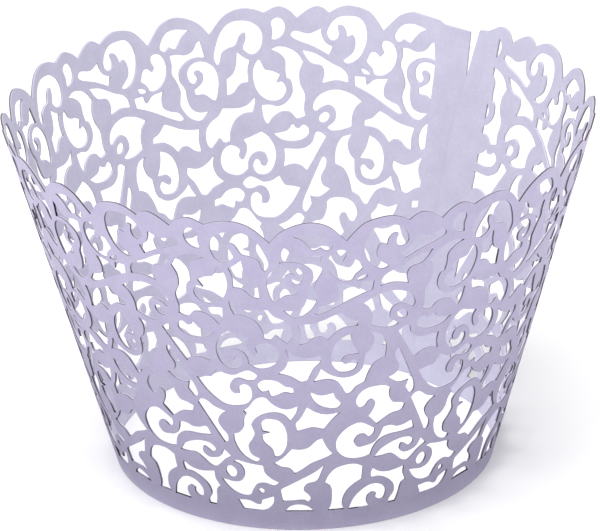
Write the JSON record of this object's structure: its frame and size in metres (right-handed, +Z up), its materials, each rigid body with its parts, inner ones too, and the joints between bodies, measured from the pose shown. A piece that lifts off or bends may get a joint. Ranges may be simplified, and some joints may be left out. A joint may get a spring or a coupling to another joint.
{
  "type": "cupcake wrapper",
  "caption": "Flared open ring of thin card with a scalloped rim, pierced vine-scroll lace above a plain foot band and two lapped plain ends.",
  "frame": {"origin": "centre of the circle that the foot edge stands on", "axes": "+Z up the cone's axis, -Y towards the front, the lapped plain ends at the back right (+X, +Y)"},
  "size_m": [0.0802, 0.0801, 0.0505],
  "materials": {
    "card": "matt lilac card with a slight pearl sheen"
  },
  "bodies": {
    "root": {"lace_wrapper": "card"}
  },
  "joints": []
}
